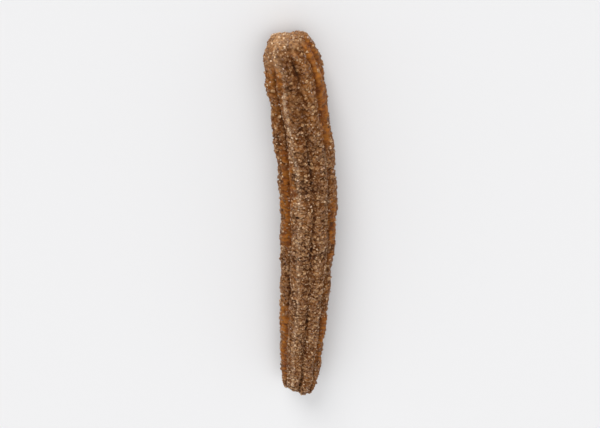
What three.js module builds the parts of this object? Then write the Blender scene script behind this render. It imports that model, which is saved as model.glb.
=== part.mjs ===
// A churro: one stick of fried dough, piped through a star nozzle, gently bowed, lying on a surface.
// Millimetres, +Z up. The stick runs along +Y. The origin is on that surface, under the middle of its box.

import * as THREE from "three";

// Driving dimensions
const length = 210;
const crestReach = 13.2; // from the axis to a crest, over most of the upper half
const lowerReach = 11.4; // the same at the -Y end
const taperLength = 135; // from the -Y end to where the full reach is met
const belly = 0.9; // how much more it reaches half way along
const ridges = 8;
const grooveDepth = 2.9; // from a crest to the bottom of the groove beside it
const ridgeRoundness = 2.6; // 2 is a parabola, more is a broader crest with a narrower groove
const twistDegrees = 6; // of the ridges, from end to end
const leanDegrees = 9.8; // how far the ridges near the top lean round towards +X
const leanCentreDegrees = 15; // where they lean most, from the top towards +X
const curlDegrees = 12; // how far the ridges turn back again at each end
const curlLength = 16; // over which they do so
const ridgeWander = 0.03; // of the ridges to either side, in radians round the stick
const bow = 7.1; // how far the middle stands off the straight line between the ends
const bowSkew = 1.4; // over 1 puts the bend nearer the +Y end
const sunk = 0.35; // how much of the lowest crests is pressed flat by lying there

// Ends: cut across, then puffed round in the oil
const roundLength = 22; // how far from the tip the stick starts to narrow
const faceShare = 0.48; // radius of the blunt face at the tip, as a share of the stick's
const faceDimple = 0.8; // how far the middle of that face lies back
const cutSlant = 0.9; // how far the cut leans to either side of square

// Mesh
const columnsPerRidge = 6;
const sideRows = 94;
const roundRows = 8; // at each end
const faceRings = 3; // on each blunt face

const columns = ridges * columnsPerRidge;
const ridgeAngle = (2 * Math.PI) / ridges;
const lowestAngle = Math.PI - ridgeAngle / 2; // from the top to a ridge that the stick lies on
const { degToRad, smoothstep } = THREE.MathUtils;

// Crest to axis, before anything uneven
function crestRadius(along) {
  const taper = (crestReach - lowerReach) * smoothstep(along, 0, taperLength);
  return lowerReach + taper + belly * Math.sin((Math.PI * along) / length) ** 2;
}

// Uneven swelling of the whole stick, the same again after a full turn
function lumps(angle, along) {
  return (
    0.24 * Math.sin(3 * angle + 0.071 * along + 0.4) +
    0.2 * Math.sin(5 * angle - 0.113 * along + 1.9) +
    0.16 * Math.sin(2 * angle + 0.197 * along + 4)
  );
}

// A ridge rises and falls along its length, each in its own way
function ridgeSwell(ridge, along) {
  return (
    0.3 * Math.sin(0.23 * along + 2.4 * ridge) +
    0.22 * Math.sin(0.41 * along + 4.1 * ridge + 1)
  );
}

// Short cracks across the crests, where the crust tore as the dough puffed
function tear(ridge, along) {
  const wave =
    Math.sin(0.83 * along + 2.9 * ridge) *
    Math.sin(0.31 * along + 1.7 * ridge + 0.6);
  return 0.6 * smoothstep(wave, 0.5, 0.98);
}

// Small crags of crust all over
function crags(angle, along) {
  return (
    0.3 * Math.sin(11 * angle + 0.87 * along) * Math.sin(7 * angle - 1.13 * along + 2)
  );
}

function grooveAt(groove, along) {
  return grooveDepth * (1 + 0.3 * Math.sin(0.02 * along - 0.45 * groove + 1.8));
}

// Height of a ridge over its grooves, from 0 to 1; turns counts ridges round the stick
function ridgeRise(turns) {
  const across = turns - Math.floor(turns) - 0.5;
  return 1 - Math.abs(2 * across) ** ridgeRoundness;
}

// Angle round the axis from the top towards +X: the ridges twist, curl back at both ends and
// wander a little. Near the top they lean towards +X, and further round they lean back, so
// the first ridge on the -X side of the top is the broadest.
function angleAt(turns, along) {
  const twist = degToRad(twistDegrees) * (along / length - 0.5);
  const upperCurl = smoothstep(along, length - curlLength, length);
  const lowerCurl = 1 - smoothstep(along, 0, curlLength);
  const curl = degToRad(curlDegrees) * (upperCurl + lowerCurl);
  const straight = turns * ridgeAngle + twist - curl;
  const swing = Math.cos(2 * (straight - degToRad(leanCentreDegrees)));
  const lean = (degToRad(leanDegrees) * swing * (1 + Math.cos(straight))) / 2;
  const wander =
    Math.sin(2 * straight + 0.083 * along) +
    0.5 * Math.sin(3 * straight - 0.121 * along + 2);
  return straight + lean - ridgeWander * wander;
}

// Surface to axis in a full section; the grooves fade out towards the middle of an end face
function sectionRadius(turns, angle, along, grooveShare) {
  const ridge = Math.floor(turns);
  const groove = Math.round(turns) % ridges;
  const rise = ridgeRise(turns);
  return (
    crestRadius(along) -
    grooveAt(groove, along) * grooveShare * (1 - rise) +
    lumps(angle, along) +
    crags(angle, along) +
    ridgeSwell(ridge, along) * rise -
    tear(ridge, along) * rise ** 2
  );
}

// Sideways place of the axis: both ends on one straight line, the middle out to +X
function bowAt(along) {
  return bow * Math.sin(Math.PI * (along / length) ** bowSkew);
}

// Height of the axis, which leaves the lowest crests on the surface
function axisHeight(along) {
  return -crestRadius(along) * Math.cos(lowestAngle) - sunk;
}

// How far the end reaches past a square cut: slanted, and each ridge to its own length
function endReach(turns, angle, end) {
  return (
    cutSlant * Math.sin(angle) +
    0.5 * Math.sin(3 * angle + 0.8 + end) +
    0.6 * Math.sin(2.7 * Math.floor(turns) + 1.3 * end) * ridgeRise(turns)
  );
}

// One end, from the middle of its face outwards. Each row is set in from the tip,
// has a share of the full radius, and takes a share of the end's reach.
function endRows() {
  const face = Array.from({ length: faceRings }, (_, ring) => {
    const out = ring / faceRings;
    return { inset: faceDimple * (1 - out ** 2), share: faceShare * out, reach: out };
  });
  const round = Array.from({ length: roundRows + 1 }, (_, row) => {
    const turn = ((Math.PI / 2) * row) / roundRows;
    return {
      inset: roundLength * (1 - Math.cos(turn)),
      share: faceShare + (1 - faceShare) * Math.sin(turn),
      reach: Math.cos(turn),
    };
  });
  return [...face, ...round];
}

// The whole stick, from the middle of one face to the middle of the other
function stickRows() {
  const lower = endRows().map((row) => ({ ...row, along: row.inset, end: -1 }));
  const upper = endRows().map((row) => ({ ...row, along: length - row.inset, end: 1 }));
  const sideLength = length - 2 * roundLength;
  const side = Array.from({ length: sideRows - 1 }, (_, row) => ({
    along: roundLength + (sideLength * (row + 1)) / sideRows,
    share: 1,
    reach: 0,
    end: 0,
  }));
  return [...lower, ...side, ...upper.reverse()];
}

function surfacePoint(row, column) {
  const turns = column / columnsPerRidge;
  const angle = angleAt(turns, row.along);
  const grooveShare = Math.min(1, row.share / faceShare);
  const radius = sectionRadius(turns, angle, row.along, grooveShare) * row.share;
  const reach = row.end * row.reach * endReach(turns, angle, row.end);
  return new THREE.Vector3(
    bowAt(row.along) + radius * Math.sin(angle),
    row.along + reach,
    Math.max(0, axisHeight(row.along) + radius * Math.cos(angle)),
  );
}

// Rings of points closed into a skin: two triangles a cell, and a fan at each end
function stickGeometry() {
  const rows = stickRows();
  const rings = rows.slice(1, -1);
  const points = [surfacePoint(rows[0], 0)];
  for (const row of rings) {
    for (let column = 0; column < columns; column++) {
      points.push(surfacePoint(row, column));
    }
  }
  points.push(surfacePoint(rows[rows.length - 1], 0));

  const lastPoint = points.length - 1;
  const lastRing = rings.length - 1;
  const at = (ring, column) => 1 + ring * columns + (column % columns);
  const faces = [];
  for (let column = 0; column < columns; column++) {
    faces.push(0, at(0, column + 1), at(0, column));
    for (let ring = 0; ring < lastRing; ring++) {
      const near = at(ring, column);
      const nearNext = at(ring, column + 1);
      const far = at(ring + 1, column);
      const farNext = at(ring + 1, column + 1);
      faces.push(near, farNext, far, near, nearNext, farNext);
    }
    faces.push(lastPoint, at(lastRing, column), at(lastRing, column + 1));
  }

  const geometry = new THREE.BufferGeometry().setFromPoints(points);
  geometry.setIndex(faces);
  geometry.computeVertexNormals();
  return geometry;
}

const friedDough = new THREE.MeshStandardMaterial({
  color: new THREE.Color().setRGB(0.46, 0.29, 0.17, THREE.SRGBColorSpace),
  roughness: 0.75,
  metalness: 0,
});

const churro = new THREE.Mesh(stickGeometry(), friedDough);
churro.name = "churro";

// The bow and the uneven ends put its box off centre, so it moves back over the origin
churro.geometry.computeBoundingBox();
const middle = churro.geometry.boundingBox.getCenter(new THREE.Vector3());
churro.position.set(-middle.x, -middle.y, 0);

const part = new THREE.Group();
part.add(churro);

export default part;
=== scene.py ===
import math
import time

import bpy
from mathutils import Matrix, Vector


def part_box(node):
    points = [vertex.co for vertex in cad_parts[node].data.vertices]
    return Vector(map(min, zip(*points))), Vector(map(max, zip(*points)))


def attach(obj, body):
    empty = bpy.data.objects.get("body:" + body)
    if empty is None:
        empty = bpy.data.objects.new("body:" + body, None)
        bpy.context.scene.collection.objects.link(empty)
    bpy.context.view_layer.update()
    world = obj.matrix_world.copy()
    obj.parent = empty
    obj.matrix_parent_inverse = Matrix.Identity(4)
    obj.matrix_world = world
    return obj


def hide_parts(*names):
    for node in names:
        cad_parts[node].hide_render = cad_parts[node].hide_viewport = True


startTime = time.time()
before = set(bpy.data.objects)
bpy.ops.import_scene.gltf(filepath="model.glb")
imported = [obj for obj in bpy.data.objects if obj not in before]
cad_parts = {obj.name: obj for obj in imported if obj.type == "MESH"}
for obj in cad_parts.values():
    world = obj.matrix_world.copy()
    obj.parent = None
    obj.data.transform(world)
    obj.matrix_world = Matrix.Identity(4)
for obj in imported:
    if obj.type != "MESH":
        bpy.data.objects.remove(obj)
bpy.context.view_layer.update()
mm = 0.001
perSquareMetre = 1e6  # square millimetres in one
degree = math.pi / 180


def report(stage):
    print(f"{stage} ({time.time() - startTime:.1f} s)")


report("frame loaded")


# Node trees, written as sums on sockets

class Wire:
    # One output socket
    def __init__(self, graph, socket):
        self.graph = graph
        self.socket = socket

    def sibling(self, name):
        return Wire(self.graph, findSocket(self.socket.node.outputs, name))

    def __add__(self, other):
        return self.graph.math("ADD", self, other)

    def __radd__(self, other):
        return self.graph.math("ADD", other, self)

    def __sub__(self, other):
        return self.graph.math("SUBTRACT", self, other)

    def __rsub__(self, other):
        return self.graph.math("SUBTRACT", other, self)

    def __mul__(self, other):
        return self.graph.math("MULTIPLY", self, other)

    def __rmul__(self, other):
        return self.graph.math("MULTIPLY", other, self)

    def __truediv__(self, other):
        return self.graph.math("DIVIDE", self, other)

    def __pow__(self, other):
        return self.graph.math("POWER", self, other)

    def __mod__(self, other):
        return self.graph.math("FLOORED_MODULO", self, other)

    def __neg__(self):
        return self.graph.math("MULTIPLY", self, -1)

    def __abs__(self):
        return self.graph.math("ABSOLUTE", self)


# By name or by number, of the sockets in use; the first if there is no key
def findSocket(sockets, key):
    shown = [socket for socket in sockets if socket.enabled]
    if key is None:
        return shown[0]
    if isinstance(key, int):
        return shown[key]
    return next(socket for socket in shown if socket.name == key)


class Graph:
    def __init__(self, tree):
        self.tree = tree

    # Adds a node: its settings first, then the values or links of its sockets
    def node(self, kind, settings=None, inputs=None, output=None):
        made = self.tree.nodes.new(kind)
        for name, value in (settings or {}).items():
            if name == "stops":
                setStops(made.color_ramp, value)
            else:
                setattr(made, name, value)
        for key, value in (inputs or {}).items():
            socket = findSocket(made.inputs, key)
            if isinstance(value, Wire):
                self.tree.links.new(value.socket, socket)
            else:
                socket.default_value = value
        return Wire(self, findSocket(made.outputs, output)) if made.outputs else None

    def math(self, operation, *values):
        return self.node("ShaderNodeMath", {"operation": operation}, dict(enumerate(values)))

    def sine(self, value):
        return self.math("SINE", value)

    def cosine(self, value):
        return self.math("COSINE", value)

    def least(self, first, second):
        return self.math("MINIMUM", first, second)

    def most(self, first, second):
        return self.math("MAXIMUM", first, second)

    # 0 below low, 1 above high, eased between; high may be the smaller
    def smooth(self, value, low, high):
        return self.node(
            "ShaderNodeMapRange",
            {"interpolation_type": "SMOOTHSTEP"},
            {"Value": value, "From Min": low, "From Max": high},
        )

    # Added up in turn
    def total(self, first, *others):
        for other in others:
            first = first + other
        return first

    # From low up to 1, as the share goes from 0 to 1
    def upFrom(self, low, share):
        return low + (1 - low) * share

    def vectorMath(self, operation, vector, key, value):
        return self.node("ShaderNodeVectorMath", {"operation": operation}, {0: vector, key: value})

    def stretched(self, vector, factors):
        return self.vectorMath("MULTIPLY", vector, 1, factors)

    def moved(self, vector, offset):
        return self.vectorMath("ADD", vector, 1, offset)

    def scaled(self, vector, factor):
        return self.vectorMath("SCALE", vector, "Scale", factor)

    def part(self, vector, axis):
        return self.node("ShaderNodeSeparateXYZ", {}, {0: vector}, axis)

    def parts(self, vector):
        return [self.part(vector, axis) for axis in "XYZ"]

    def joined(self, x, y, z):
        return self.node("ShaderNodeCombineXYZ", {}, {"X": x, "Y": y, "Z": z})

    def noise(self, vector, scale, detail, roughness):
        inputs = {"Vector": vector, "Scale": scale, "Detail": detail, "Roughness": roughness}
        return self.node("ShaderNodeTexNoise", {}, inputs)

    # A noise that goes either way from 0
    def strayed(self, vector, scale, detail, roughness):
        return self.noise(vector, scale, detail, roughness) - 0.5

    def cells(self, vector, scale, output="Distance"):
        return self.node("ShaderNodeTexVoronoi", {}, {"Vector": vector, "Scale": scale}, output)

    def blend(self, factor, first, second):
        inputs = {"Factor": factor, "A": first, "B": second}
        return self.node("ShaderNodeMix", {"data_type": "RGBA"}, inputs)

    def ramp(self, factor, stops):
        return self.node("ShaderNodeValToRGB", {"stops": stops}, {"Fac": factor}, "Color")

    def bump(self, height, strength, distance):
        inputs = {"Strength": strength, "Distance": distance, "Height": height}
        return self.node("ShaderNodeBump", {}, inputs, "Normal")

    def attribute(self, name):
        return self.node("ShaderNodeAttribute", {"attribute_name": name}, {}, "Fac")

    def objectPlace(self):
        return self.node("ShaderNodeTexCoord", {}, {}, "Object")


def setStops(ramp, stops):
    while len(ramp.elements) > 1:
        ramp.elements.remove(ramp.elements[-1])
    for index, (place, colour) in enumerate(stops):
        element = ramp.elements[0] if index == 0 else ramp.elements.new(place)
        element.position = place
        element.color = colour


# sRGB 0 to 255 into the linear colour that sockets take
def paint(red, green, blue):
    def linear(value):
        share = value / 255
        return share / 12.92 if share <= 0.04045 else ((share + 0.055) / 1.055) ** 2.4

    return (linear(red), linear(green), linear(blue), 1.0)


def addObject(name, data):
    made = bpy.data.objects.new(name, data)
    bpy.context.scene.collection.objects.link(made)
    return made


socketTypes = {
    int: "NodeSocketInt",
    float: "NodeSocketFloat",
    bpy.types.Object: "NodeSocketObject",
}


# A Geometry Nodes tree with one named input for each adjustable value
class ShapeTree(Graph):
    def __init__(self, name, values):
        super().__init__(bpy.data.node_groups.new(name, "GeometryNodeTree"))
        self.values = values
        self.sockets = {}
        addSocket = self.tree.interface.new_socket
        for key, value in values.items():
            socket = addSocket(key, in_out="INPUT", socket_type=socketTypes[type(value)])
            self.sockets[key] = socket.identifier
        addSocket("Geometry", in_out="OUTPUT", socket_type="NodeSocketGeometry")
        self.start = self.tree.nodes.new("NodeGroupInput")
        self.end = self.tree.nodes.new("NodeGroupOutput")

    def value(self, key):
        return Wire(self, self.start.outputs[key])

    def position(self):
        return self.node("GeometryNodeInputPosition")

    # Puts every point at a Position, or moves it by an Offset
    def put(self, geometry, **place):
        return self.node("GeometryNodeSetPosition", {}, {"Geometry": geometry, **place})

    def store(self, geometry, name, value, domain="POINT"):
        return self.node(
            "GeometryNodeStoreNamedAttribute",
            {"data_type": "FLOAT", "domain": domain},
            {"Geometry": geometry, "Name": name, "Value": value},
        )

    def read(self, name):
        return self.node("GeometryNodeInputNamedAttribute", {"data_type": "FLOAT"}, {"Name": name})

    def random(self, low, high, seed, kind="FLOAT"):
        inputs = {"Min": low, "Max": high, "Seed": seed}
        return self.node("FunctionNodeRandomValue", {"data_type": kind}, inputs)

    # Ends the tree, and returns what it makes as a plain mesh object
    def finish(self, geometry, name, material):
        real = self.node("GeometryNodeRealizeInstances", {}, {"Geometry": geometry})
        done = self.node("GeometryNodeSetMaterial", {}, {"Geometry": real, "Material": material})
        self.tree.links.new(done.socket, self.end.inputs[0])
        seed = addObject(name + "_seed", bpy.data.meshes.new(name + "_seed"))
        modifier = seed.modifiers.new("shape", "NODES")
        modifier.node_group = self.tree
        for key, value in self.values.items():
            modifier[self.sockets[key]] = value
        depsgraph = bpy.context.evaluated_depsgraph_get()
        evaluated = seed.evaluated_get(depsgraph)
        mesh = bpy.data.meshes.new_from_object(evaluated, depsgraph=depsgraph)
        bpy.data.objects.remove(seed)
        mesh.name = name
        return addObject(name, mesh)


# The stick of dough. Lengths in millimetres.

ridgeCount = 8
ridgeAngle = 2 * math.pi / ridgeCount

doughValues = {
    "length": 210.0,
    "crestReach": 13.2,
    "lowerReach": 11.4,
    "taperLength": 135.0,
    "belly": 0.9,
    "grooveDepth": 2.9,
    "ridgeRoundness": 2.6,
    "twistDegrees": 6.0,
    "leanDegrees": 9.8,
    "leanCentreDegrees": 15.0,
    "curlDegrees": 12.0,
    "curlLength": 16.0,
    "bow": 7.1,
    "bowSkew": 1.4,
    "sunk": 0.35,
    "roundLength": 22.0,
    "faceShare": 0.48,
    "faceDimple": 0.8,
    "cutSlant": 0.9,
    "around": 208,
    "sideRows": 300,
    "capRows": 72,
    "faceRowShare": 0.16,
    "ridgeWander": 0.03,
    "tearDepth": 0.6,
    "cragHeight": 0.3,
    "inset": 0.15,
    "bumpHeight": 0.7,
    "clumpHeight": 0.4,
    "grainHeight": 0.25,
    "pitDepth": 0.7,
    "crackDepth": 0.6,
    "seamDepth": 0.5,
}

# How the stick strays from a plain one. A wave is its height and its phase, which adds up so much
# for each place on the stick that it names.
stickWaves = {
    "wander": (
        (1, {"straight": 2, "along": 0.083}),
        (0.5, {"straight": 3, "along": -0.121, "start": 2}),
    ),
    "lumps": (
        (0.24, {"angle": 3, "along": 0.071, "start": 0.4}),
        (0.2, {"angle": 5, "along": -0.113, "start": 1.9}),
        (0.16, {"angle": 2, "along": 0.197, "start": 4}),
    ),
    # A ridge rises and falls along its length, each in its own way
    "swell": (
        (0.3, {"along": 0.23, "ridge": 2.4}),
        (0.22, {"along": 0.41, "ridge": 4.1, "start": 1}),
    ),
    "grooveDepth": ((0.3, {"along": 0.02, "groove": -0.45, "start": 1.8}),),
    "cut": ((0.5, {"angle": 3, "start": 0.8, "end": 1}),),
    "ridgeEnds": ((0.6, {"ridge": 2.7, "end": 1.3}),),
}
# Two phases each, of waves that cross
cragPhases = ({"angle": 11, "along": 0.87}, {"angle": 7, "along": -1.13, "start": 2})
tearPhases = ({"along": 0.83, "ridge": 2.9}, {"along": 0.31, "ridge": 1.7, "start": 0.6})
tearEdges = (0.5, 0.98)
raggedEdges = {"noise": (0.16, 3.0, 0.6), "amount": 0.9}
halfRidge = 0.5
nudge = 0.0001  # keeps the bottom of a groove with the ridge after it


# The stick, in the same form as the CAD solid. Each place on it is a wire: along runs from the
# lower end in millimetres, turns counts ridges round from the groove at the top towards +X, across
# goes from a ridge's crest to its grooves, rise is 0 in a groove and 1 on a crest, share is out of
# the full radius, and ragged strays about 0 and makes edges uneven.
class Stick:
    def __init__(self, tree):
        self.tree = tree
        self.start = 1  # a phase starts where it says, all over the stick
        side, top, back = tree.parts(tree.position())
        self.end = -back  # -1 on the lower cap, 1 on the upper one
        self.findAlong(side, top)
        self.findRound(side, top)
        self.findSkin()
        self.ragged = raggedEdges["amount"] * tree.strayed(self.skin, *raggedEdges["noise"])

    # The sine of a phase, whose start is where the wave starts
    def wave(self, phase):
        terms = [speed * getattr(self, place) for place, speed in phase.items()]
        return self.tree.sine(self.tree.total(*terms))

    def waves(self, name):
        heights = [height * self.wave(phase) for height, phase in stickWaves[name]]
        return self.tree.total(*heights)

    # From the middle of an end face, out over the rounding and along the side
    def findAlong(self, side, top):
        tree, get = self.tree, self.tree.value
        roundLength, faceShare, faceRows = get("roundLength"), get("faceShare"), get("faceRowShare")
        out = tree.math("SQRT", side * side + top * top)
        onFace = tree.least(out / faceRows, 1)
        turn = tree.most((out - faceRows) / (1 - faceRows), 0) * (math.pi / 2)
        inset = get("faceDimple") * (1 - onFace**2) + roundLength * (1 - tree.cosine(turn))
        straightPart = (self.end + 1) / 2 * (get("length") - 2 * roundLength)
        self.along = straightPart + roundLength + self.end * (roundLength - inset)
        self.share = faceShare * onFace + (1 - faceShare) * tree.sine(turn)
        self.slantShare = onFace * tree.cosine(turn)

    # The ridges twist, curl back at both ends, lean towards +X near the top, and wander
    def findRound(self, side, top):
        tree, get, along = self.tree, self.tree.value, self.along
        length, curlStart = get("length"), get("curlLength")
        self.turns = (tree.math("ARCTAN2", side, top) / ridgeAngle) % ridgeCount
        self.ridge = tree.math("FLOOR", self.turns + nudge)
        self.groove = tree.math("ROUND", self.turns) % ridgeCount
        self.across = self.turns - self.ridge - halfRidge
        self.rise = 1 - tree.least(abs(self.across * 2), 1) ** get("ridgeRoundness")
        twist = get("twistDegrees") * degree * (along / length - 0.5)
        curl = tree.smooth(along, length - curlStart, length) + tree.smooth(along, curlStart, 0)
        self.straight = self.turns * ridgeAngle + twist - get("curlDegrees") * degree * curl
        swing = tree.cosine(2 * (self.straight - get("leanCentreDegrees") * degree))
        lean = get("leanDegrees") * degree * swing * (1 + tree.cosine(self.straight)) / 2
        self.angle = self.straight + lean - get("ridgeWander") * self.waves("wander")

    # Out from the axis, and into place: the cut slants, and each ridge ends at its own length
    def findSkin(self):
        tree, get, along, rise = self.tree, self.tree.value, self.along, self.rise
        length = get("length")
        full = tree.smooth(along, 0, get("taperLength"))
        taper = (get("crestReach") - get("lowerReach")) * full
        belly = get("belly") * tree.sine(math.pi * along / length) ** 2
        crestRadius = get("lowerReach") + taper + belly
        depth = get("grooveDepth") * (1 + self.waves("grooveDepth"))
        valley = depth * tree.least(self.share / get("faceShare"), 1) * (1 - rise)
        crags = get("cragHeight") * self.wave(cragPhases[0]) * self.wave(cragPhases[1])
        tearing = self.wave(tearPhases[0]) * self.wave(tearPhases[1])
        tears = get("tearDepth") * tree.smooth(tearing, *tearEdges)
        section = crestRadius - valley + self.waves("lumps") + crags
        section = section + self.waves("swell") * rise - tears * rise**2
        radius = section * self.share

        slant = get("cutSlant") * tree.sine(self.angle) + self.waves("cut")
        reach = self.slantShare * self.end * (slant + self.waves("ridgeEnds") * rise)
        bow = get("bow") * tree.sine(math.pi * (along / length) ** get("bowSkew"))
        axisHeight = crestRadius * math.cos(ridgeAngle / 2) - get("sunk")
        height = tree.most(axisHeight + radius * tree.cosine(self.angle), 0)
        self.skin = tree.joined(bow + radius * tree.sine(self.angle), along + reach, height)


def buildDough(material):
    tree = ShapeTree("doughShape", doughValues)
    stick = Stick(tree)
    skin = unrolledSkin(tree)
    for name, value in crustCoats(stick).items():
        skin = tree.store(skin, name, value)
    fried = roughenCrust(tree, tree.put(skin, Position=stick.skin))
    eased = tree.node("GeometryNodeSetShadeSmooth", {}, {"Geometry": layFlat(tree, fried)})
    return tree.finish(eased, "dough", material)


# A plain cylinder, 1 in radius and 2 long, whose points are then put in their places
def unrolledSkin(tree):
    get = tree.value
    return tree.node(
        "GeometryNodeMeshCylinder",
        {"fill_type": "TRIANGLE_FAN"},
        {
            "Vertices": get("around"),
            "Side Segments": get("sideRows"),
            "Fill Segments": get("capRows"),
            "Radius": 1.0,
            "Depth": 2.0,
        },
    )


# Where the crust's finish changes. Of a pair, the first is where a change starts and the second
# where it is full: along the stick in millimetres, round it in ridges, as turns counts them, or on
# a wave from -1 to 1.
crustZones = {
    # Golden, either side of the left groove
    "leftBand": {
        "from": (6.6, 6.78),
        "to": (7.3, 7.14),
        "lowerPart": (142, 118),
        "lowerShift": 0.1,
        "upperPart": (180, 190),
        "upperShift": 0.15,
        "upperInset": 0.06,
        "upperEvenness": 0.6,
        "broadTop": (162, 156),
        "broadBottom": (124, 132),
        "broader": 0.11,
        "gapPhase": {"along": 0.07, "start": -1.3, "ragged": 4},
        "gaps": (-0.5, 0),
    },
    # Golden, down the right flank, with patches of sugar in its lower part
    "rightBand": {
        "from": 1.05,
        "softness": 0.1,
        "to": (2.4, 2.15),
        "broadBottom": (152, 174),
        "broadTop": (204, 192),
        "broader": 0.35,
        "patchesBelow": (186, 170),
        "patchPhase": {"along": 0.09, "start": 0.8, "ragged": 6},
        "patches": (-0.4, 0.4),
        "patchSugar": 0.75,
    },
    # Golden, in patches of the grooves on the underside and the lower flanks
    "farPatches": {
        "phase": {"along": 0.045, "groove": 2.1, "ragged": 6},
        "patches": (0.2, 0.8),
        "acrossFrom": (0.12, 0.34),
        "from": (2.6, 3),
        "to": (6.2, 5.8),
    },
    "goldenOutFrom": (0.52, 0.7),  # so the end faces hold their sugar
    # Sugar caught thick, in a line beside some crests
    "crestFrost": {
        "phase": {"ridge": 1.5, "start": 3.64},
        "ridges": (0.4, 0.8),
        "beside": 0.11,
        "lowerPart": (166, 150),
        "lowerShift": 0.13,
        "upperPart": (184, 194),
        "upperShift": 0.11,
        "wander": 0.2,
        "width": (0.11, 0.03),
        "strongFrom": (135, 150),
        "lowerStrength": 0.55,
        "strongTo": (202, 192),
        "tipStrength": 0.4,
    },
    # Painted light down the right flank, as a fainter line of the same
    "paintedFlankLight": {
        "at": 0.93,
        "wander": 0.2,
        "width": (0.14, 0.04),
        "below": (184, 168),
        "strength": 0.55,
    },
    # Painted shade: dark lines down the grooves, in some more than in others
    "sootAndShade": {
        "phase": {"groove": 1.9, "along": -0.02, "start": 5.5},
        "grooves": (-0.9, 0.5),
        "upTo": 0.45,
        "fullBelow": (188, 172),
        "upperStrength": 0.35,
    },
    # The groove at the top has a broader, fainter line of painted shade, and holds more sugar
    "topGroove": {
        "fromBottom": (3.4, 3.7),
        "broader": 0.25,
        "fainter": 0.4,
        "sugarAs": 0.35,
    },
    # Darker crust on both ridges beside the upper end of the top groove
    "toast": {
        "leftFrom": (7.44, 7.6),
        "leftTo": (7.98, 7.86),
        "leftStrength": 1.4,
        "rightFrom": (0.3, 0.6),
        "rightTo": (1.15, 0.95),
        "from": (166, 180),
        "to": (208, 203),
        "sootAndShade": 0.28,
    },
    # A sharp fold in the bottom of a groove, here and there, that no sugar got into
    "fold": {
        "phase": {"along": 0.13, "groove": 2.3, "start": 0.57},
        "grooves": (0.35, 0.85),
        "outFrom": (0.8, 0.9),
        "rightGroove": 1,
        "offRightGroove": (0.2, 0.4),
        "breakPhase": {"along": 1.3, "groove": 3, "start": 2},
        "breaks": (-0.9, -0.3),
        "wholeFrom": (190, 194),
        "width": (0.105, 0.0),
    },
    # Lighter: painted light on the end faces, most on the left; and the left shoulder of the upper
    # end, less browned
    "paintedEndLight": {"outTo": 0.86, "middle": 0.66, "leftMore": 0.42, "offGolden": 0.6},
    "paleShoulder": {
        "above": (195, 203),
        "from": (5.7, 6.4),
        "to": (7.75, 7.35),
        "strength": 0.45,
        "crestFrom": (7.1, 7.35),
        "crestMore": 0.35,
    },
    # Thinner sugar towards the upper end, so that the crust shows between its grains
    "thinSugar": {
        "above": (150, 190),
        "amount": 0.35,
        "leftFrom": (5.6, 6.2),
        "leftTo": (7.9, 7.3),
        "leftMore": 0.4,
    },
}


# How strong each coat, and each painted light and shade, is: 0 where there is none and about 1
# where it is full, for the skin to keep
def crustCoats(stick):
    tree, topZone = stick.tree, crustZones["topGroove"]
    bands = tree.most(leftBand(stick), rightBand(stick))
    golden = tree.most(bands, farPatches(stick))
    bare = golden * tree.smooth(stick.share, *crustZones["goldenOutFrom"])
    topGroove = tree.smooth(abs(stick.turns - ridgeCount // 2), *topZone["fromBottom"])
    toast = toastedCrust(stick)
    shadedGrooves = grooveShade(stick, topGroove)
    pale = paleAndLitCrust(stick, bare)
    return {
        "rise": tree.most(stick.rise, topZone["sugarAs"] * topGroove),
        "bare": bare,
        # Thick frost beside some crests, and painted light down the right flank
        "frost": thickFrostAndFlankLight(stick) * (1 - bare),
        # Soot on toasted crust, and painted shade down the grooves
        "scorch": tree.most(shadedGrooves, crustZones["toast"]["sootAndShade"] * toast),
        "toast": toast,
        # Pale crust, and painted light on the end faces
        "pale": pale,
        "thin": thinSugar(stick, pale),
        "seam": foldLines(stick) * (1 - bare),
    }


def leftBand(stick):
    smooth, along, turns, ragged = stick.tree.smooth, stick.along, stick.turns, stick.ragged
    zone = crustZones["leftBand"]
    upper = smooth(along, *zone["upperPart"])
    shift = zone["lowerShift"] * smooth(along, *zone["lowerPart"]) - zone["upperShift"] * upper
    broad = zone["broader"] * smooth(along, *zone["broadTop"]) * smooth(along, *zone["broadBottom"])
    evened = ragged * (1 - zone["upperEvenness"] * upper)
    start = turns + evened + shift - zone["upperInset"] * upper
    end = turns - ragged + shift - broad
    unbroken = smooth(stick.wave(zone["gapPhase"]), *zone["gaps"])
    return smooth(start, *zone["from"]) * smooth(end, *zone["to"]) * unbroken


def rightBand(stick):
    smooth, along, turns = stick.tree.smooth, stick.along, stick.turns
    zone = crustZones["rightBand"]
    broad = zone["broader"] * smooth(along, *zone["broadBottom"]) * smooth(along, *zone["broadTop"])
    inside = turns - (zone["from"] - broad) + stick.ragged
    band = smooth(inside, -zone["softness"], zone["softness"]) * smooth(turns, *zone["to"])
    patches = smooth(stick.wave(zone["patchPhase"]), *zone["patches"])
    patchy = smooth(along, *zone["patchesBelow"]) * patches
    return band * (1 - zone["patchSugar"] * patchy)


def farPatches(stick):
    smooth, turns = stick.tree.smooth, stick.turns
    zone = crustZones["farPatches"]
    nearGroove = smooth(abs(stick.across) + stick.ragged, *zone["acrossFrom"])
    patches = smooth(stick.wave(zone["phase"]), *zone["patches"]) * nearGroove
    return patches * smooth(turns, *zone["from"]) * smooth(turns, *zone["to"])


# Thick frost beside some crests, and painted light down the right flank
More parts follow.
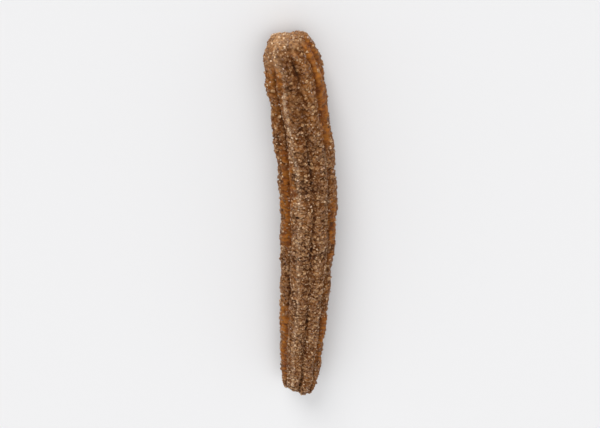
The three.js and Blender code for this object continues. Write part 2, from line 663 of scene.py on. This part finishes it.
def thickFrostAndFlankLight(stick):
    tree, smooth, along = stick.tree, stick.tree.smooth, stick.along
    zone = crustZones["crestFrost"]
    chosen = smooth(stick.wave(zone["phase"]), *zone["ridges"])
    lower = zone["lowerShift"] * smooth(along, *zone["lowerPart"])
    upper = zone["upperShift"] * smooth(along, *zone["upperPart"])
    fromLine = stick.across + (zone["beside"] - lower - upper) + zone["wander"] * stick.ragged
    strong = tree.upFrom(zone["lowerStrength"], smooth(along, *zone["strongFrom"]))
    crest = smooth(abs(fromLine), *zone["width"]) * chosen * strong
    crest = crest * tree.upFrom(zone["tipStrength"], smooth(along, *zone["strongTo"]))
    # Painted light down the right flank
    zone = crustZones["paintedFlankLight"]
    fromLine = stick.turns - zone["at"] + zone["wander"] * stick.ragged
    flankLight = smooth(abs(fromLine), *zone["width"]) * smooth(along, *zone["below"])
    return tree.most(crest, zone["strength"] * flankLight)


# Painted shade: darker lines down the grooves
def grooveShade(stick, topGroove):
    tree, smooth = stick.tree, stick.tree.smooth
    zone, topZone = crustZones["sootAndShade"], crustZones["topGroove"]
    line = smooth(stick.rise, zone["upTo"] + topZone["broader"] * topGroove, 0.0)
    line = line * (1 - topZone["fainter"] * topGroove)
    line = line * smooth(stick.wave(zone["phase"]), *zone["grooves"])
    return line * tree.upFrom(zone["upperStrength"], smooth(stick.along, *zone["fullBelow"]))


def toastedCrust(stick):
    smooth, along, turns = stick.tree.smooth, stick.along, stick.turns
    zone = crustZones["toast"]
    left = smooth(turns, *zone["leftFrom"]) * smooth(turns, *zone["leftTo"])
    right = smooth(turns, *zone["rightFrom"]) * smooth(turns, *zone["rightTo"])
    both = zone["leftStrength"] * left + right
    return both * smooth(along, *zone["from"]) * smooth(along, *zone["to"])


def foldLines(stick):
    tree, smooth = stick.tree, stick.tree.smooth
    zone = crustZones["fold"]
    folded = smooth(stick.wave(zone["phase"]), *zone["grooves"])
    folded = folded * smooth(stick.share, *zone["outFrom"])
    folded = folded * smooth(abs(stick.turns - zone["rightGroove"]), *zone["offRightGroove"])
    whole = smooth(stick.wave(zone["breakPhase"]), *zone["breaks"])
    unbroken = tree.most(whole, smooth(stick.along, *zone["wholeFrom"]))
    return smooth(abs(halfRidge - abs(stick.across)), *zone["width"]) * folded * unbroken


def paleAndLitCrust(stick, bare):
    tree, smooth, turns = stick.tree, stick.tree.smooth, stick.turns
    zone = crustZones["paintedEndLight"]
    # Painted light: the end faces lighter, more so on the left
    litTowardsLeft = tree.least(zone["middle"] - zone["leftMore"] * tree.sine(stick.angle), 1)
    onFace = 1 - smooth(stick.share, tree.value("faceShare"), zone["outTo"])
    endLight = onFace * litTowardsLeft * (1 - zone["offGolden"] * bare)
    zone = crustZones["paleShoulder"]
    shoulder = smooth(stick.along, *zone["above"]) * smooth(turns, *zone["from"])
    shoulder = shoulder * smooth(turns, *zone["to"])
    crest = zone["crestMore"] * smooth(turns, *zone["crestFrom"])
    return tree.most(endLight, shoulder * (zone["strength"] + crest))


def thinSugar(stick, pale):
    smooth, turns = stick.tree.smooth, stick.turns
    zone = crustZones["thinSugar"]
    leftSide = smooth(turns, *zone["leftFrom"]) * smooth(turns, *zone["leftTo"])
    amount = zone["amount"] + zone["leftMore"] * leftSide
    return smooth(stick.along, *zone["above"]) * amount * (1 - pale)


# A noise is its scale to a millimetre, its detail and its roughness
crustRelief = {
    "bumpNoise": (0.2, 3.0, 0.6),
    "clumpNoise": (0.9, 2.0, 0.55),
    "clumpStretch": (1.0, 0.8, 1.0),
    "clumpEdges": (0.38, 0.62),
    "clumpOffGolden": 0.7,
    "grainNoise": (1.3, 2.0, 0.6),
    "pitScale": 0.4,
    "pitEdges": (0.34, 0.1),
    "pitPatchNoise": (0.12, 2.0, 0.5),
    "pitPatchOffset": (40, 7, 3),
    "pitPatches": (0.42, 0.58),
    "pitsBelow": (192, 178),
    "upperPits": 0.1,
    "crackNoise": (0.45, 2.0, 0.55),
    "crackStretch": (0.35, 1.0, 0.35),
    "crackEdges": (0.1, 0.01),
    "crackPatchNoise": (0.09, 2.0, 0.5),
    "crackPatchOffset": (9, 50, 20),
    "crackPatches": (0.46, 0.6),
    "cracksFromRise": (0.3, 0.8),
    "cracksBelow": (202, 190),
    "upperCracks": 0.3,
    "cracksOnGolden": 0.4,
}
foldEdges = (0.5, 0.93)  # of a fold's line, where it starts to be cut in and painted with shade, and is full


# Bumps, clumps of sugar, pits and cracks, all along the skin's own normal
def roughenCrust(tree, piped):
    get, smooth, relief = tree.value, tree.smooth, crustRelief
    at = tree.position()
    along = tree.part(at, "Y")
    bare = tree.read("bare")

    bumps = tree.strayed(at, *relief["bumpNoise"]) * get("bumpHeight")
    clumpNoise = tree.noise(tree.stretched(at, relief["clumpStretch"]), *relief["clumpNoise"])
    clump = smooth(clumpNoise, *relief["clumpEdges"])
    sugared = (clump - 0.5) * get("clumpHeight") * (1 - relief["clumpOffGolden"] * bare)
    grain = tree.strayed(at, *relief["grainNoise"]) * get("grainHeight")

    pitNoise = tree.noise(tree.moved(at, relief["pitPatchOffset"]), *relief["pitPatchNoise"])
    pitPatch = smooth(pitNoise, *relief["pitPatches"])
    pitPatch = pitPatch * tree.upFrom(relief["upperPits"], smooth(along, *relief["pitsBelow"]))
    pit = smooth(tree.cells(at, relief["pitScale"]), *relief["pitEdges"]) * pitPatch

    crackAt = tree.stretched(at, relief["crackStretch"])
    crackLine = smooth(abs(tree.strayed(crackAt, *relief["crackNoise"])), *relief["crackEdges"])
    patchAt = tree.moved(at, relief["crackPatchOffset"])
    crackPatch = smooth(tree.noise(patchAt, *relief["crackPatchNoise"]), *relief["crackPatches"])
    crackPatch = crackPatch * smooth(tree.read("rise"), *relief["cracksFromRise"])
    upper = tree.upFrom(relief["upperCracks"], smooth(along, *relief["cracksBelow"]))
    crack = crackLine * tree.most(crackPatch * upper, bare * relief["cracksOnGolden"])

    carved = pit * get("pitDepth")
    push = bumps + sugared + grain - carved - crack * get("crackDepth") - get("inset")
    push = push - smooth(tree.read("seam"), *foldEdges) * get("seamDepth")
    shift = tree.scaled(tree.node("GeometryNodeInputNormal"), push)
    # Where pits and cracks lie, for the painted shade in their bottoms
    stored = tree.store(piped, "hollow", tree.most(pit, crack))
    stored = tree.store(stored, "clump", clump)
    return tree.put(stored, Offset=shift)


# Nothing reaches under the surface it lies on, and millimetres become metres
def layFlat(tree, fried):
    x, y, z = tree.parts(tree.position())
    return tree.put(fried, Position=tree.joined(x * mm, y * mm, tree.most(z, 0) * mm))


# Moves a piece over the ground until the middle of its box is the CAD node's
def centreOn(piece, node):
    low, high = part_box(node)
    for axis in (0, 1):
        values = [vertex.co[axis] for vertex in piece.data.vertices]
        move = Vector((0, 0, 0))
        move[axis] = (low[axis] + high[axis]) / 2 - (min(values) + max(values)) / 2
        piece.data.transform(Matrix.Translation(move))


# Grains strewn over the dough: how many to a square millimetre, their sizes in millimetres, and
# how deep they sit as a share of their size

coarseSugar = {"perSquareMm": 1.25, "smallest": 0.45, "largest": 0.85, "sunk": 0.2, "seed": 3}
fineSugar = {"perSquareMm": 2.2, "smallest": 0.22, "largest": 0.45, "sunk": 0.1, "seed": 8}
sugarClumps = {"perSquareMm": 0.3, "smallest": 0.9, "largest": 1.7, "sunk": 0.12, "seed": 13}
cinnamon = {"perSquareMm": 1.3, "smallest": 0.15, "largest": 0.42, "sunk": 0.1, "seed": 21}
crumbs = {"perSquareMm": 0.03, "smallest": 0.7, "largest": 1.4, "sunk": 0.3, "seed": 34}

grainVariety = {
    "sizeSeed": 1,
    "narrowest": (0.7, 0.7, 0.7),
    "broadest": (1.25, 1.25, 1.25),
    "stretchSeed": 5,
    "tintSeed": 9,
    "tintSpread": 0.85,
    "zoneTint": 0.2,
}


def strew(name, surface, material, values, shape, mask, lying):
    tree = ShapeTree(name + "Strewn", {"surface": surface, **values})
    get, variety = tree.value, grainVariety
    ground = tree.node(
        "GeometryNodeObjectInfo",
        {"transform_space": "ORIGINAL"},
        {"Object": get("surface")},
        "Geometry",
    )
    density = get("perSquareMm") * perSquareMetre * mask(tree)
    points = tree.node(
        "GeometryNodeDistributePointsOnFaces",
        {"distribute_method": "RANDOM"},
        {"Mesh": ground, "Density": density, "Seed": get("seed")},
    )
    fullTurn = (math.tau, math.tau, math.tau)
    spin = tree.random((0, 0, 0), fullTurn, get("seed"), "FLOAT_VECTOR")
    size = tree.random(get("smallest") * mm, get("largest") * mm, variety["sizeSeed"])
    stretch = tree.random(
        variety["narrowest"], variety["broadest"], variety["stretchSeed"], "FLOAT_VECTOR"
    )
    sink = tree.scaled(points.sibling("Normal"), size * -get("sunk"))
    tumbled = tree.node("FunctionNodeEulerToRotation", {}, {"Euler": spin})
    grains = tree.node(
        "GeometryNodeInstanceOnPoints",
        {},
        {
            "Points": tree.put(points, Offset=sink),
            "Instance": shape(tree),
            "Rotation": points.sibling("Rotation") if lying else tumbled,
            "Scale": tree.scaled(stretch, size),
        },
    )
    tinted = tree.store(grains, "tint", grainTint(tree), "INSTANCE")
    return tree.finish(tinted, name, material)


# Each grain's own shade, lighter on frost, on the painted light down the right flank, on pale crust
# and on the painted light of the end faces, and darker on toasted crust
def grainTint(tree):
    own = tree.random(0.0, 1.0, grainVariety["tintSeed"]) * grainVariety["tintSpread"]
    onFrostAndFlankLight, onPaleAndLit, onToast = [
        tree.read(name) * grainVariety["zoneTint"] for name in ("frost", "pale", "toast")
    ]
    return own + (onFrostAndFlankLight + onPaleAndLit - onToast)


def cubeGrain(tree):
    return tree.node("GeometryNodeMeshCube", {}, {"Size": (1, 1, 1)})


def roundGrain(tree):
    return tree.node("GeometryNodeMeshUVSphere", {}, {"Segments": 4, "Rings": 2, "Radius": 0.5})


def crumbGrain(tree):
    return tree.node("GeometryNodeMeshIcoSphere", {}, {"Radius": 0.5, "Subdivisions": 1})


clumpShape = {
    "noise": (2.6, 2.0, 0.6),
    "least": 0.55,
    "more": 0.9,
    "flatness": (1.0, 1.0, 0.55),
}


# A low patch of grains stuck together
def clumpGrain(tree):
    ball = tree.node("GeometryNodeMeshIcoSphere", {}, {"Radius": 0.5, "Subdivisions": 2})
    place = tree.position()
    uneven = clumpShape["least"] + clumpShape["more"] * tree.noise(place, *clumpShape["noise"])
    flat = tree.stretched(tree.scaled(place, uneven), clumpShape["flatness"])
    return tree.put(ball, Position=flat)


# Which share of the grains above lies where. What says more adds to the share, and what says off
# is how much of it goes.
coverValues = {
    "inGrooves": 0.42,
    "moreOnCrests": 0.27,
    "betweenClumps": 0.2,
    "moreOnFrostAndFlankLight": 0.2,
    "moreOnPaleAndLit": 0.25,
    "offThin": 0.6,
    "offFolds": 0.95,
    "foldEdges": (0.15, 0.6),
    "offGolden": 0.85,
    "moreFineOnFrostAndFlankLight": 1.1,
    "dustOffGolden": 0.6,
    "dustOffCrests": 0.5,
    "dustOffClumps": 0.6,
    "groundEdges": (0.0006, 0.0012),  # metres up
}


# How thickly the sugar lies: most on clumps and crests, little on bare crust, none underneath
def sugarMask(tree):
    read, much = tree.read, coverValues
    cover = much["inGrooves"] + much["moreOnCrests"] * read("rise")
    cover = cover * tree.upFrom(much["betweenClumps"], read("clump"))
    cover = cover + much["moreOnFrostAndFlankLight"] * read("frost") + much["moreOnPaleAndLit"] * read("pale")
    folds = tree.smooth(read("seam"), *much["foldEdges"])
    left = (1 - much["offThin"] * read("thin")) * (1 - much["offFolds"] * folds)
    return cover * (1 - much["offGolden"] * read("bare")) * left * clearOfGround(tree)


# The finest grains also lie thick along the frosted lines and the painted light down the right
# flank
def fineMask(tree):
    onFrostAndFlankLight = coverValues["moreFineOnFrostAndFlankLight"] * tree.read("frost")
    return sugarMask(tree) + onFrostAndFlankLight * clearOfGround(tree)


# Cinnamon lies where the sugar doesn't: in the grooves and between the clumps
def dustMask(tree):
    read, much = tree.read, coverValues
    cleanest = much["dustOffGolden"] * tree.most(read("bare"), read("pale"))
    clean = 1.0 - tree.most(read("frost"), cleanest)
    offCrests = 1.0 - much["dustOffCrests"] * read("rise")
    offClumps = 1.0 - much["dustOffClumps"] * read("clump")
    return offCrests * offClumps * clean * clearOfGround(tree)


# 0 next to what the dough lies on, and 1 a little above it
def clearOfGround(tree):
    return tree.smooth(tree.part(tree.position(), "Z"), *coverValues["groundEdges"])


# Materials. Scales are to a metre.

def newMaterial(name):
    material = bpy.data.materials.new(name)
    material.use_nodes = True
    material.node_tree.nodes.clear()
    return material, Graph(material.node_tree)


def surfaceOf(graph, fixed, links):
    shader = graph.node("ShaderNodeBsdfPrincipled", {}, {**fixed, **links})
    graph.node("ShaderNodeOutputMaterial", {}, {"Surface": shader})


# A noise is its scale, its detail and its roughness. A bump is its strength, and its depth in
# metres.
crustFinish = {
    "golden": [(0.34, paint(75, 31, 2)), (0.45, paint(126, 66, 10)), (0.56, paint(164, 99, 28))],
    "browning": {"base": 0.03, "blotches": 0.5, "wrinkles": 0.35, "crests": 0.07},
    "blotchNoise": (260.0, 4.0, 0.65),
    "wrinkleNoise": (1.0, 3.0, 0.6),
    "wrinkleStretch": (300.0, 1000.0, 300.0),
    "dusted": [(0.1, paint(54, 22, 2)), (0.45, paint(102, 61, 27)), (0.85, paint(160, 118, 79))],
    "dusting": {"specks": 0.55, "clumps": 0.45, "crests": 0.2, "drop": 0.165},
    "speckScale": 1150.0,
    "patchNoise": (130.0, 3.0, 0.6),
    "patchEdges": (0.38, 0.6),
    "dustBetweenPatches": 0.8,
    "dustOffGolden": 0.85,
    "dustOffThin": 0.5,
    # Colour of the frost, and of the painted light down the right flank
    "frost": paint(190, 163, 136),
    "powderScale": 2300.0,
    "powderEdges": (0.25, 0.6),
    "breakNoise": (330.0, 2.0, 0.5),
    "breakEdges": (0.38, 0.6),
    "frostInBreaks": 0.25,
    # Colour of pale crust, and of the painted light on the end faces
    "pale": paint(200, 156, 112),
    "paleAndLitShare": 0.65,
    # Dark colour for soot on toasted crust, and for painted shade down the grooves
    "sootAndShade": paint(48, 20, 4),
    "sootInBreaks": 0.45,
    "sootMore": 0.45,
    "sootOffGolden": 0.85,
    # Painted shade in the bottoms of pits, cracks and folds, and how strong it is
    "hollow": paint(40, 16, 4),
    "hollowShadeStrength": 0.75,
    "blisterNoise": (850.0, 3.0, 0.6),
    "blisterShare": 0.6,
    "fineBlisterNoise": (2600.0, 2.0, 0.6),
    "fineBlisterShare": 0.4,
    "goldenWrinkles": 0.5,
    "bump": (1.0, 0.0006),
    "roughness": 0.8,
    "goldenGloss": 0.35,
    "specular": 0.15,
}


def crustMaterial():
    material, graph = newMaterial("fried_dough")
    read, finish = graph.attribute, crustFinish
    place = graph.objectPlace()
    wrinkleAt = graph.stretched(place, finish["wrinkleStretch"])
    wrinkles = graph.noise(wrinkleAt, *finish["wrinkleNoise"])
    coated = dustCoat(graph, place, goldenCrust(graph, place, wrinkles))
    colour = sootAndPaintedShade(graph, place, frostedAndLit(graph, place, coated))

    fineBlisters = finish["fineBlisterShare"] * graph.noise(place, *finish["fineBlisterNoise"])
    blisters = finish["blisterShare"] * graph.noise(place, *finish["blisterNoise"]) + fineBlisters
    relief = blisters + finish["goldenWrinkles"] * read("bare") * wrinkles
    links = {
        "Base Color": colour,
        "Roughness": finish["roughness"] - finish["goldenGloss"] * read("bare"),
        "Normal": graph.bump(relief, *finish["bump"]),
    }
    surfaceOf(graph, {"Specular IOR Level": finish["specular"]}, links)
    return material


# Bare crust, blotched and wrinkled
def goldenCrust(graph, place, wrinkles):
    much = crustFinish["browning"]
    blotches = graph.noise(place, *crustFinish["blotchNoise"])
    browning = much["blotches"] * blotches + much["wrinkles"] * wrinkles
    browning = browning + much["crests"] * graph.attribute("rise") + much["base"]
    return graph.ramp(browning, crustFinish["golden"])


# Sugar and cinnamon too fine to be grains of their own: one shade to each speck
def dustCoat(graph, place, under):
    read, finish, much = graph.attribute, crustFinish, crustFinish["dusting"]
    shade = graph.part(graph.cells(place, finish["speckScale"], "Color"), "X")
    dust = shade * much["specks"] + read("clump") * much["clumps"]
    dust = dust + read("rise") * much["crests"] - much["drop"]
    patches = graph.smooth(graph.noise(place, *finish["patchNoise"]), *finish["patchEdges"])
    cover = graph.upFrom(finish["dustBetweenPatches"], patches)
    cover = cover * (1 - finish["dustOffGolden"] * read("bare"))
    cover = cover * (1 - finish["dustOffThin"] * read("thin"))
    return graph.blend(cover, under, graph.ramp(dust, finish["dusted"]))


# 1 where frost, soot and the painted light and shade with them are whole, and 0 where they break up
def wholeness(graph, place):
    noise = graph.noise(place, *crustFinish["breakNoise"])
    return graph.smooth(noise, *crustFinish["breakEdges"])


# Frosted lines and the painted light down the right flank, then pale crust and the painted light on
# the end faces
def frostedAndLit(graph, place, under):
    read, finish = graph.attribute, crustFinish
    powder = graph.part(graph.cells(place, finish["powderScale"], "Color"), "Y")
    frost = read("frost") * graph.upFrom(finish["frostInBreaks"], wholeness(graph, place))
    frost = frost * graph.smooth(powder, *finish["powderEdges"])
    powdered = graph.blend(frost, under, finish["frost"])
    return graph.blend(read("pale") * finish["paleAndLitShare"], powdered, finish["pale"])


# Soot on toasted crust and painted shade down the grooves, and then painted shade in the bottoms of
# pits, cracks and folds
def sootAndPaintedShade(graph, place, under):
    read, finish = graph.attribute, crustFinish
    uneven = finish["sootInBreaks"] + finish["sootMore"] * wholeness(graph, place)
    sootAndShade = read("scorch") * uneven * (1 - finish["sootOffGolden"] * read("bare"))
    shadedGrooves = graph.blend(sootAndShade, under, finish["sootAndShade"])
    # Painted shade in the bottoms of pits, cracks and folds
    folds = finish["hollowShadeStrength"] * graph.smooth(read("seam"), *foldEdges)
    depth = graph.most(read("hollow") * finish["hollowShadeStrength"], folds)
    return graph.blend(depth, shadedGrooves, finish["hollow"])


grainFinish = {
    "sugar": [(0.0, paint(104, 66, 38)), (0.6, paint(143, 101, 64)), (1.0, paint(222, 191, 154))],
    "clumps": [(0.1, paint(110, 70, 34)), (0.5, paint(154, 112, 70)), (0.9, paint(206, 168, 124))],
    "clumpSpeckScale": 2600.0,
    "clumpSpecks": 0.6,
    "clumpTint": 0.4,
    "clumpBump": (0.9, 0.0003),
    "cinnamon": (paint(74, 36, 10), paint(122, 72, 34)),
    "crumbs": (paint(96, 52, 16), paint(150, 106, 62)),
}
sugarSurface = {"Roughness": 0.3, "Specular IOR Level": 0.5}
clumpSurface = {"Roughness": 0.5, "Specular IOR Level": 0.3}
cinnamonSurface = {"Roughness": 0.9, "Specular IOR Level": 0.1}
crumbSurface = {"Roughness": 0.8, "Specular IOR Level": 0.3}
floorSurface = {"Roughness": 1.0, "Specular IOR Level": 0.0}


def sugarMaterial():
    material, graph = newMaterial("sugar_crystals")
    colour = graph.ramp(graph.attribute("tint"), grainFinish["sugar"])
    surfaceOf(graph, sugarSurface, {"Base Color": colour})
    return material


# Grains stuck together, each speck of the clump with its own shade
def clumpMaterial():
    material, graph = newMaterial("sugar_clumps")
    place, scale = graph.objectPlace(), grainFinish["clumpSpeckScale"]
    shade = graph.part(graph.cells(place, scale, "Color"), "X")
    tint = graph.attribute("tint") * grainFinish["clumpTint"]
    colour = graph.ramp(shade * grainFinish["clumpSpecks"] + tint, grainFinish["clumps"])
    bump = graph.bump(graph.cells(place, scale), *grainFinish["clumpBump"])
    surfaceOf(graph, clumpSurface, {"Base Color": colour, "Normal": bump})
    return material


# Dull grains, each somewhere between two shades
def dullMaterial(name, shades, surface):
    material, graph = newMaterial(name)
    colour = graph.blend(graph.attribute("tint"), *shades)
    surfaceOf(graph, surface, {"Base Color": colour})
    return material


# Stage: camera, floor and light

cameraValues = {
    "place": (0.0046, 0.2627, 0.3715),
    "aim": (-0.0022, 0.0135, 0.012),
    "swing": math.radians(1.53),
    "lens": 54.5,
}
lightValues = {
    "floorSize": 60.0,
    "floorColour": paint(231, 231, 232),
    "skyColour": paint(255, 255, 255),
    "skyAbove": 0.72,
    "skyAtHorizon": 0.88,
    "skyEdges": (0.05, 0.5),
    "keyStrength": 2.0,
    "keyFrom": (-0.2, 1.0, 0.42),
    "keySpread": math.radians(26),
    "fillStrength": 0.46,
    "fillFrom": (0.4, 0.2, 1.0),
    "fillSpread": math.radians(42),
}


def aimAt(thing, place, target, right):
    back = (Vector(place) - Vector(target)).normalized()
    side = (Vector(right) - back * Vector(right).dot(back)).normalized()
    up = back.cross(side)
    turn = Matrix((side, up, back)).transposed().to_4x4()
    thing.matrix_world = Matrix.Translation(place) @ turn


def buildCamera():
    data = bpy.data.cameras.new("camera")
    data.lens = cameraValues["lens"]
    camera = addObject("camera", data)
    swing = cameraValues["swing"]
    right = (math.cos(swing), -math.sin(swing), 0)
    aimAt(camera, cameraValues["place"], cameraValues["aim"], right)
    bpy.context.scene.camera = camera


# Even over the whole floor, with soft edges to its shadows
def buildLight(name):
    data = bpy.data.lights.new(name, "SUN")
    data.energy = lightValues[name + "Strength"]
    data.angle = lightValues[name + "Spread"]
    aimAt(addObject(name, data), lightValues[name + "From"], (0, 0, 0), (1, 0, 0))


# White all round, and a little brighter at the horizon, where it meets the floor
def buildSky():
    world = bpy.data.worlds.new("sky")
    world.use_nodes = True
    world.node_tree.nodes.clear()
    graph = Graph(world.node_tree)
    direction = graph.node("ShaderNodeTexCoord", {}, {}, "Generated")
    above = graph.smooth(graph.part(direction, "Z"), *lightValues["skyEdges"])
    drop = lightValues["skyAtHorizon"] - lightValues["skyAbove"]
    strength = lightValues["skyAtHorizon"] - drop * above
    inputs = {"Color": lightValues["skyColour"], "Strength": strength}
    background = graph.node("ShaderNodeBackground", {}, inputs)
    graph.node("ShaderNodeOutputWorld", {}, {"Surface": background})
    bpy.context.scene.world = world


def buildFloor():
    half = lightValues["floorSize"] / 2
    corners = [(-half, -half, 0), (half, -half, 0), (half, half, 0), (-half, half, 0)]
    mesh = bpy.data.meshes.new("floor")
    mesh.from_pydata(corners, [], [(0, 1, 2, 3)])
    floor = addObject("floor", mesh)
    material, graph = newMaterial("pale_floor")
    surfaceOf(graph, floorSurface, {"Base Color": lightValues["floorColour"]})
    mesh.materials.append(material)


def buildStage():
    buildCamera()
    buildFloor()
    buildLight("key")
    buildLight("fill")
    buildSky()
    bpy.context.scene.view_settings.view_transform = "Standard"


buildStage()
report("stage set")

dough = buildDough(crustMaterial())
centreOn(dough, "churro")
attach(dough, "root")
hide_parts("churro")
report(f"dough piped, {len(dough.data.polygons)} faces")

sugar = sugarMaterial()
clumped = clumpMaterial()
dust = dullMaterial("ground_cinnamon", grainFinish["cinnamon"], cinnamonSurface)
crumbly = dullMaterial("dough_crumbs", grainFinish["crumbs"], crumbSurface)
for name, material, values, shape, mask, lying, slotName in (
    ("coarse_sugar", sugar, coarseSugar, cubeGrain, sugarMask, False, "sugar_crystals"),
    ("fine_sugar", sugar, fineSugar, roundGrain, fineMask, False, "sugar_crystals"),
    ("sugar_clumps", clumped, sugarClumps, clumpGrain, sugarMask, True, "sugar_crystals"),
    ("cinnamon", dust, cinnamon, roundGrain, dustMask, False, "ground_cinnamon"),
    ("crumbs", crumbly, crumbs, crumbGrain, sugarMask, False, "fried_dough"),
):
    grains = strew(name, dough, material, values, shape, mask, lying)
    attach(grains, "root")
    report(f"{name} strewn, {len(grains.data.polygons)} faces")
